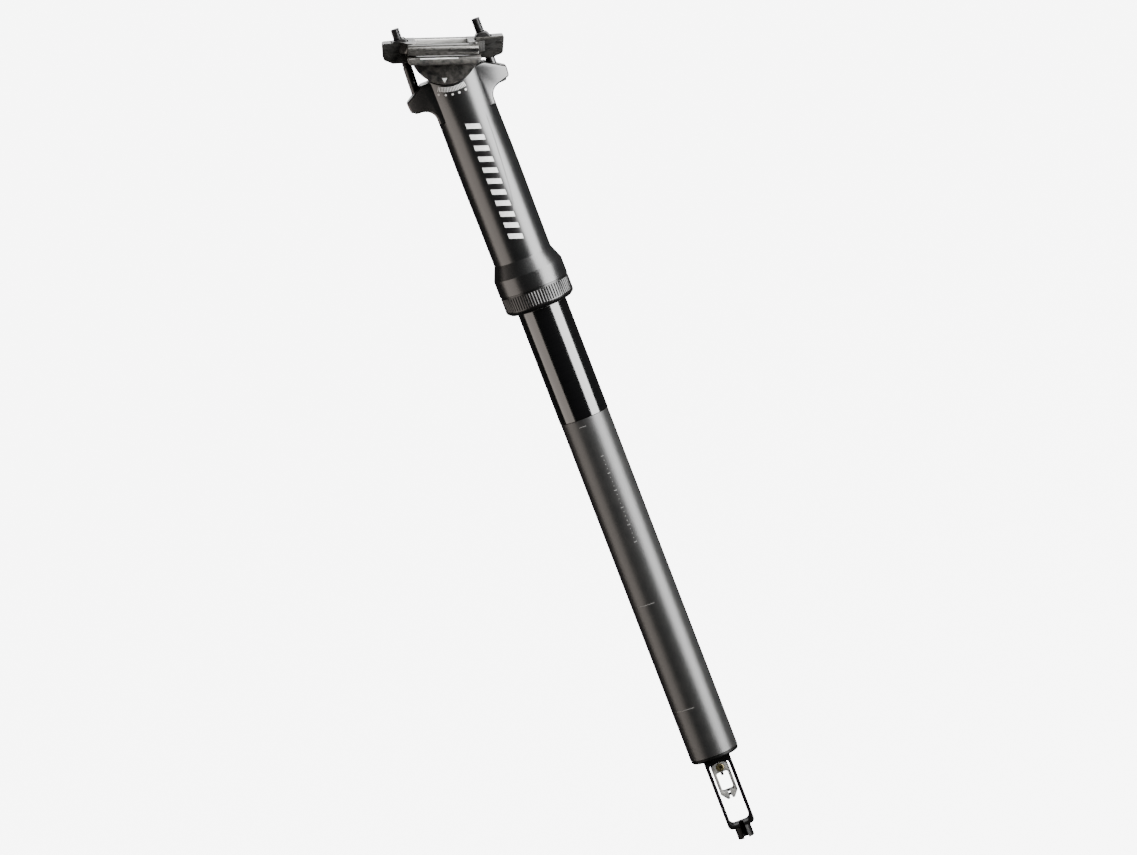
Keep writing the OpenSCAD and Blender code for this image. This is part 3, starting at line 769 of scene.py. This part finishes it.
clampShape = {
    "rockerRadius": 19.7,
    "rockerHalfX": 17.4,
    "rockerHalfY": 16,
    "rockerEdge": 0.9,
    "flank": (1.6, 0, 0.3),
    "wing": [(-19, -3.9, 0), (-12.5, -3.9, 0), (8, -3.9, 0), (20.5, -3.9, 0), (20.5, -4.8, 0),
             (18.6, -7.9, 1.5), (-17.6, -7.9, 1.2), (-19, -6.4, 0)],
    "wingAcross": (10, 27.5),
    "wingEdge": 0.75,
    "pocket": ((-10, -9, -13), (10, 9, 4)),
    "groove": (3.5, 22, -3.3),
    "bar": [(16.5, -2.7, 0.5), (27.4, -2.7, 0.7), (27.4, 2.8, 2.4), (16.5, 2.8, 0.8)],
    "barHalf": 19,
    "blocks": {-1: [(-18.6, 4.1, 0), (-31.9, 4.1, 1.2), (-31.9, -4.6, 1.5), (-27, -7, 1.5),
                    (-18.6, -7, 0.8)],
               1: [(18.6, 4.1, 0), (33.7, 4.1, 0.8), (32.4, -5.2, 2.0), (27, -7, 1.5),
                   (18.6, -7, 0.8)]},
    "blockHalf": 9,
    "gusset": [(14, -20, 0), (18.6, -20, 1.2), (21.2, -12, 2), (23.5, -8, 0), (23.5, 8, 0), (21.2, 12, 2),
               (18.6, 20, 1.2), (14, 20, 0)],
    "gussetZ": (-2.7, 3.4),
    "pocketRadius": 4.8,
    "pocketHalf": 6.8,
    "slotHalf": 2.9,
    "swing": {"rear": (21, 3), "front": (6, 24)},  # degrees each bolt may lean, inward and outward
    "swingReach": 12,
    "relief": [(12.4, -20), (16.2, 0), (30, 0), (30, -20)],
    "reliefHalf": 3.4,
    "dimple": (17.5, 405.4),
    "dimpleRadius": 0.75,
}


def inRails(bm):
    return shifted(turned(bm, railTurn, "Y"), *clampAt)


def inClamp(bm):
    return shifted(turned(bm, nutTurn, "Y"), *clampAt)


def railGrooves(c):
    r, y, z = c["groove"]
    return [inRails(rod(r, (-40, s * y, z), (40, s * y, z), 64)) for s in (-1, 1)]


def makeCradle(c):
    r, y = c["rockerRadius"], c["rockerHalfY"]
    wingTop = c["wing"][0][1]
    flank = Vector(c["flank"])
    rocker = shared(rod(r, (0, -y, 0), (0, y, 0), 128),
                    rod(r, flank + Vector((0, -y - past, 0)), flank + Vector((0, y + past, 0)), 128),
                    block((-c["rockerHalfX"], -y - past, -30), (c["rockerHalfX"], y + past, wingTop - 0.05)))
    # the edges just under the wings stay sharp, because the wings meet them
    soften(rocker, c["rockerEdge"], 3, 35, lambda e: max(v.co.z for v in e.verts) < wingTop - 0.5)
    near, far = c["wingAcross"]
    wings = []
    for s in (-1, 1):
        wing = prism(rounded(c["wing"], 6), (far - near) / 2, s * (far + near) / 2)
        wings.append(soften(wing, c["wingEdge"], 3, 40))
    bm = inRails(weld(rocker, *wings))
    cuts = railGrooves(c) + [inRails(block(*c["pocket"]))]
    for s in (-1, 1):
        cuts.append(inClamp(prism([(s * x, z) for x, z in c["relief"]], c["reliefHalf"])))
    bm = carve(bm, *cuts)
    # the outer lips of the wings get a bright bare-metal finish along their middle, partly wear and partly a
    # painted highlight where the light catches the lip
    level = Matrix.Rotation(-railTurn, 3, "Y")
    (highlightFrom, *_), (highlightTo, *_) = c["wing"][1:3]
    for face in bm.faces:
        x, y, z = level @ (face.calc_center_median() - clampAt)
        onLip = z > wingTop - c["wingEdge"] - 0.05 and abs(y) > far - 0.8
        if highlightFrom < x < highlightTo and onLip:
            face.material_index = 1
    keepPiece(bm, "saddleCradle", "saddle_clamp", "forgedBlack bareEdge",
              ["saddle_cradle"], 30)


def makeUpperClamp(c):
    parts = []
    for s in (-1, 1):
        bar = beam(rounded([(s * y, z, r) for y, z, r in c["bar"]], 5), -c["barHalf"], c["barHalf"])
        parts.append(inRails(soften(bar, 0.6, 2, 50)))
        end = prism(rounded(c["blocks"][s], 5), c["blockHalf"])
        parts.append(inClamp(soften(end, 0.8, 3, 50, lambda e: abs(e.verts[0].co.x) > 19)))
        web = column(rounded([(s * x, y, r) for x, y, r in c["gusset"]], 5), *c["gussetZ"])
        parts.append(inRails(soften(web, 0.6, 2, 50, lambda e: abs(e.verts[0].co.x) > 14.5)))
    bm = weld(parts[0], *parts[1:])
    cuts = railGrooves(c)
    r, y, half, reach = c["pocketRadius"], c["pocketHalf"], c["slotHalf"], c["swingReach"]
    for end, s in (("rear", -1), ("front", 1)):
        at = nutAt[end]
        pocket = weld(rod(r, (0, -y, 0), (0, y, 0), 64), block((-r, -y, 0), (r, y, 8)))
        cuts.append(shifted(turned(pocket, nutTurn, "Y"), *at))
        tanIn, tanOut = (math.tan(math.radians(lean)) for lean in c["swing"][end])
        slot = prism([(-s * half, 0), (s * half, 0),
                      (s * (reach * tanOut + half * math.hypot(1, tanOut)), -reach),
                      (-s * (reach * tanIn + half * math.hypot(1, tanIn)), -reach)], half)
        cuts.append(shifted(turned(slot, nutTurn, "Y"), *at))
    x, z = c["dimple"]
    cuts.append(rod(c["dimpleRadius"], (x, -30, z), (x, -26, z), 24))
    bm = carve(bm, *cuts)
    bm.normal_update()
    # the inner faces of the bars are milled
    for face in bm.faces:
        spot = face.calc_center_median()
        inwards = face.normal.y * spot.y < 0 and abs(face.normal.y) > 0.6
        if inwards and abs(spot.x) < c["barHalf"] - 2:
            face.material_index = 1
    keepPiece(bm, "upperClamp", "saddle_clamp", "forgedBar millFace",
              ["upper_clamp"], 30)


makeCradle(clampShape)
makeUpperClamp(clampShape)
print("saddle clamp")

bolt = {
    "radius": 2.5,
    "core": 2.1,
    "pitch": 0.8,
    # one turn of the thread, as (radius, share of the pitch)
    "threadForm": (("core", 0), ("radius", 0.36), ("radius", 0.5), ("core", 0.86), ("core", 1)),
    "threadLength": 22,
    "underHead": -1.6,
    "headRadius": 4.25,
    "headHeight": 4.8,
    "hexKey": 4.0,
    "hexDepth": 2.6,
    "tips": {"rear": 429.6, "front": 419.4},
}


def threadedRod(b, bottom, top):
    pitch, turns, perTurn = b["pitch"], math.ceil((top - bottom) / b["pitch"]) + 3, 24
    bm = bmesh.new()
    line = [bm.verts.new((b[crest], 0, bottom - 1.5 * pitch + share * pitch))
            for crest, share in b["threadForm"]]
    sides = [bm.edges.new(pair) for pair in zip(line, line[1:])]
    bmesh.ops.spin(bm, geom=line + sides, cent=(0, 0, 0), axis=(0, 0, 1), angle=2 * math.pi * turns,
                   steps=perTurn * turns, dvec=(0, 0, pitch / perTurn))
    bmesh.ops.remove_doubles(bm, verts=bm.verts, dist=0.01)
    bmesh.ops.holes_fill(bm, edges=[e for e in bm.edges if e.is_boundary], sides=0)
    bmesh.ops.triangulate(bm, faces=[f for f in bm.faces if len(f.verts) > 4])
    bmesh.ops.recalc_face_normals(bm, faces=bm.faces)
    outer = b["radius"] + 0.1
    tip = [(0, bottom), (outer, bottom), (outer, top - 0.5), (b["core"] - 0.1, top), (0, top)]
    return shared(bm, lathe(tip, 48))


def makeBolt(b, end):
    top = (b["tips"][end] - boltFoot[end].z) / math.cos(boltLean[end])
    under = b["underHead"]
    crown = under - b["headHeight"]
    capHead = lathe(rounded([(0, crown, 0), (b["headRadius"], crown, 0.5), (b["headRadius"], under, 0.15),
                             (0, under, 0)]), 72)
    hexCorner = b["hexKey"] / 2 / math.cos(math.pi / 6)
    capHead = carve(capHead, rod(hexCorner, (0, 0, crown - past), (0, 0, crown + b["hexDepth"]), 6))
    shank = rod(b["radius"], (0, 0, under - 0.5), (0, 0, top - b["threadLength"] + 0.2), 48)
    bm = together(capHead, shank, threadedRod(b, top - b["threadLength"], top))
    keepPiece(alongBolt(bm, end), end + "Bolt", end + "_bolt", "blackSteel",
              [end + "_bolt"])


nut = {
    "radius": 4.5,
    "half": 6.5,
    "edge": 0.45,
    "hole": 2.55,
    "flat": {"rear": 3.0, "front": -3.0},  # height of the flat from the nut's axis
}


def makeNut(n, end):
    bm = soften(rod(n["radius"], (0, -n["half"], 0), (0, n["half"], 0), 96), n["edge"], 3)
    side = n["flat"][end]
    bm = carve(bm, rod(n["hole"], (0, 0, -9), (0, 0, 9), 48),
               block((-9, -9, min(side, side * 3)), (9, 9, max(side, side * 3))))
    bm = shifted(turned(bm, boltLean[end], "Y"), *nutAt[end])
    keepPiece(bm, end + "Nut", end + "_nut", "blackSteel", [end + "_nut"])


washer = {
    "inner": 2.55,
    "outer": 4.6,
    "top": -0.35,
    "thickness": 1.2,
}


def makeWasher(w, end):
    bottom, top = w["top"] - w["thickness"], w["top"]
    bm = lathe(rounded([(w["inner"], bottom, 0.15), (w["outer"], bottom, 0.3), (w["outer"], top, 0.3),
                        (w["inner"], top, 0.15)]), 72)
    keepPiece(alongBolt(bm, end), end + "Washer", end + "_washer", "blackSteel",
              [end + "_washer"])


for end in ("rear", "front"):
    makeBolt(bolt, end)
    makeNut(nut, end)
    makeWasher(washer, end)
print("bolts")


def patch(width, height, x, z, turn=0.0, slant=0.0, cells=4):
    bm = bmesh.new()  # a flat printed bar in the XZ plane
    bmesh.ops.create_grid(bm, x_segments=cells, y_segments=cells, size=0.5)
    turned(bm, math.pi / 2, "X")
    bmesh.ops.scale(bm, vec=(width, 1, height), verts=bm.verts)
    for v in bm.verts:
        v.co.x += v.co.z * slant
    return shifted(turned(bm, turn, "Y"), x, 0, z)


def dot(radius, x, z):
    bm = bmesh.new()
    bmesh.ops.create_circle(bm, cap_ends=True, segments=16, radius=radius)
    return shifted(turned(bm, math.pi / 2, "X"), x, 0, z)


def printed(bm, surface, lift=0.02, thick=0.03):
    # wraps flat marks on to the near side of the post, or on to a flat face at a given depth
    radius = surface.get("radius")
    for v in bm.verts:
        depth = math.sqrt(radius ** 2 - v.co.x ** 2) if radius else surface["depth"]
        v.co.y = -depth - lift
    drawn = bmesh.ops.extrude_face_region(bm, geom=bm.faces[:])
    moved = [v for v in drawn["geom"] if isinstance(v, bmesh.types.BMVert)]
    bmesh.ops.translate(bm, verts=moved, vec=(0, -thick, 0))
    bmesh.ops.recalc_face_normals(bm, faces=bm.faces)
    return bm


def aroundPivot(radius, degrees):
    a = math.radians(degrees)
    return radius * math.sin(a), clampAt.z - radius * math.cos(a), -a


tiltScale = {
    "ticks": 19,
    "from": -27,
    "step": 2.1,
    "radius": 22.2,
    "length": 2.7,
    "width": 0.42,
    "dots": (-25.5, -17, -8.5, 0, 8.5),
    "dotRing": 25.2,
    "dotRadius": 0.6,
    "tubeRadius": 16.4,
}


def makeTiltScale(t):
    ticks = []
    for i in range(t["ticks"]):
        x, z, turn = aroundPivot(t["radius"], t["from"] + t["step"] * i)
        ticks.append(patch(t["width"], t["length"], x, z, turn, 0, 1))
    tube = {"radius": t["tubeRadius"]}
    keepPiece(printed(together(*ticks), tube), "tiltTicks", "upper_post", "printWhite")
    dots = [dot(t["dotRadius"], *aroundPivot(t["dotRing"], a)[:2]) for a in t["dots"]]
    keepPiece(printed(together(*dots), tube), "tiltDots", "upper_post", "printWhite")


pointer = {
    "radius": 16.7,
    "height": 2.9,
}


def makePointer(p):
    bm = bmesh.new()
    bmesh.ops.create_circle(bm, cap_ends=True, segments=3, radius=p["height"] * 0.6)
    turned(bm, math.pi / 2, "X")
    turned(bm, math.pi, "Y")
    at = Vector((-p["radius"] * math.sin(nutTurn), clampAt.z - p["radius"] * math.cos(nutTurn)))
    shifted(turned(bm, nutTurn, "Y"), at.x, 0, at.y)
    printed(bm, {"depth": clampShape["rockerHalfY"]})
    keepPiece(bm, "tiltPointer", "saddle_clamp", "printWhite")


stripe = {
    "count": 11,
    "from": 303.5,
    "step": 6.35,
    "width": 7.4,
    "height": 2.9,
    "slant": 0.35,
    "x": 0.4,
    "tubeRadius": 16.63,
}


def makeStripe(s):
    bars = []
    for i in range(s["count"]):
        bar = patch(s["height"], s["width"], 0, 0, 0, s["slant"])
        bars.append(shifted(turned(bar, math.pi / 2, "Y"), s["x"], 0, s["from"] + s["step"] * i))
    bm = printed(together(*bars), {"radius": s["tubeRadius"]})
    keepPiece(bm, "upperStripe", "upper_post", "printWhite")


ruler = {
    "lines": ((193.5, -5, -1), (90.3, -10, -1), (29, -12, -1.4)),  # height, left end, right end
    "lineWidth": 0.35,
    "dotsFrom": 125,
    "dotsStep": 2.5,
    "dots": 21,
    "dotX": 1.3,
    "dotSize": 0.45,
    "longEvery": 4,
    "longSize": 1.6,
    "tubeRadius": 13.6,
}


def makeRuler(r):
    marks = [patch(right - left, r["lineWidth"], (left + right) / 2, z, cells=10)
             for z, left, right in r["lines"]]
    for i in range(r["dots"]):
        width = r["longSize"] if i % r["longEvery"] == 0 else r["dotSize"]
        marks.append(patch(width, r["lineWidth"], r["dotX"], r["dotsFrom"] + r["dotsStep"] * i))
    bm = printed(together(*marks), {"radius": r["tubeRadius"]})
    keepPiece(bm, "insertionMarks", "root", "printGrey")


makeTiltScale(tiltScale)
makePointer(pointer)
makeStripe(stripe)
makeRuler(ruler)
print("marks")


def pale(name, grey, glow):
    paint = bpy.data.materials.new(name)
    paint.use_nodes = True
    shader = paint.node_tree.nodes["Principled BSDF"]
    shader.inputs["Base Color"].default_value = (grey, grey, grey, 1)
    shader.inputs["Roughness"].default_value = 0.9
    shader.inputs["Emission Color"].default_value = (1, 1, 1, 1)
    shader.inputs["Emission Strength"].default_value = glow
    return paint


def makeFloor():
    bm = bmesh.new()
    bmesh.ops.create_grid(bm, x_segments=1, y_segments=1, size=60)
    bmesh.ops.translate(bm, vec=(0, 0, cadBox[0][2] - 0.0005), verts=bm.verts)
    floor = looseObject(bm, "floor")
    floor.data.materials.append(pale("floorPale", 0.02, 7.5))
    floor.visible_glossy = False
    floor.visible_diffuse = False


softboxes = {
    # azimuth is measured from straight behind the camera, positive to the right
    "keyRight": dict(azimuth=57, height=0.35, away=1.6, size=(1.25, 2.4), power=380,
                     colour=(1, 1, 1)),
    "fillLeft": dict(azimuth=-76, height=0.1, away=1.6, size=(1.5, 1.6), power=40,
                     colour=(1, 0.90, 0.83)),
    "overhead": dict(azimuth=38, height=2.2, away=1.2, size=(1.4, 0.9), power=105,
                     colour=(1, 1, 1)),
    "backFill": dict(azimuth=180, height=1.2, away=2.2, size=(1.4, 1.2), power=16,
                     colour=(1, 1, 1)),
}


def makeSoftbox(name, s):
    lamp = bpy.data.lights.new(name, "AREA")
    lamp.shape = "RECTANGLE"
    lamp.size, lamp.size_y = s["size"]
    lamp.energy = s["power"]
    lamp.color = s["colour"]
    around = math.radians(s["azimuth"])
    made = bpy.data.objects.new(name, lamp)
    made.location = (s["away"] * math.sin(around), -s["away"] * math.cos(around), s["height"])
    facing = Vector((0, 0, 0.2)) - made.location
    made.rotation_euler = facing.to_track_quat("-Z", "Y").to_euler()
    made.visible_camera = False
    bpy.context.scene.collection.objects.link(made)


def makeSurround(strength, colour):
    world = bpy.data.worlds.new("surround")
    world.use_nodes = True
    bpy.context.scene.world = world
    shade = world.node_tree.nodes["Background"]
    shade.inputs["Color"].default_value = (*colour, 1)
    shade.inputs["Strength"].default_value = strength


makeFloor()
for name, box in softboxes.items():
    makeSoftbox(name, box)
makeSurround(0.05, (1, 1, 1))
print("studio")
